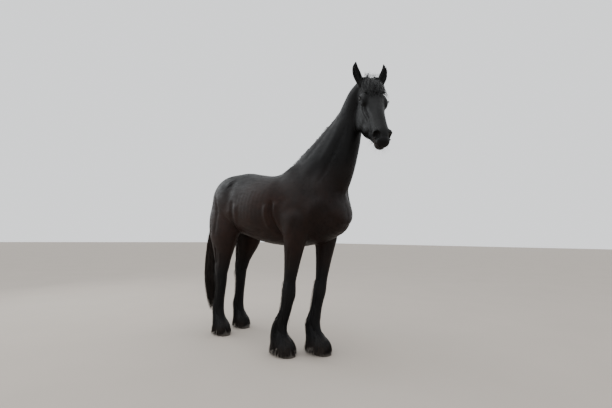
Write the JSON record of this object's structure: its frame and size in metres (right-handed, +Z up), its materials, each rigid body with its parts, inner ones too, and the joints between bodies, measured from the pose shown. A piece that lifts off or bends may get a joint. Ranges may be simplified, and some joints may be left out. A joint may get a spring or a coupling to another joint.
{
  "type": "horse",
  "caption": "Black horse standing square with its head turned to its right: arched neck, short mane, long tail and bell-shaped hair on its lower legs.",
  "frame": {"origin": "on the floor, under the centre of the horse's bounding box", "axes": "+X the way the body faces, +Y to the horse's left, +Z up"},
  "size_m": [2.2702, 0.5992, 2.2615],
  "materials": {
    "coat": "satin",
    "hair": "satin",
    "feather": "matte",
    "hoof": "matte",
    "eye": "gloss"
  },
  "bodies": {
    "root": {"ear_left": "coat", "ear_right": "coat", "eye_left": "eye", "eye_right": "eye", "feather_front_left": "feather", "feather_front_right": "feather", "feather_hind_left": "feather", "feather_hind_right": "feather", "foreleg_left": "coat", "foreleg_right": "coat", "forelock": "hair", "head": "coat", "hindleg_left": "coat", "hindleg_right": "coat", "hoof_front_left": "hoof", "hoof_front_right": "hoof", "hoof_hind_left": "hoof", "hoof_hind_right": "hoof", "mane": "hair", "neck": "coat", "tail": "hair", "trunk": "coat"}
  },
  "joints": []
}
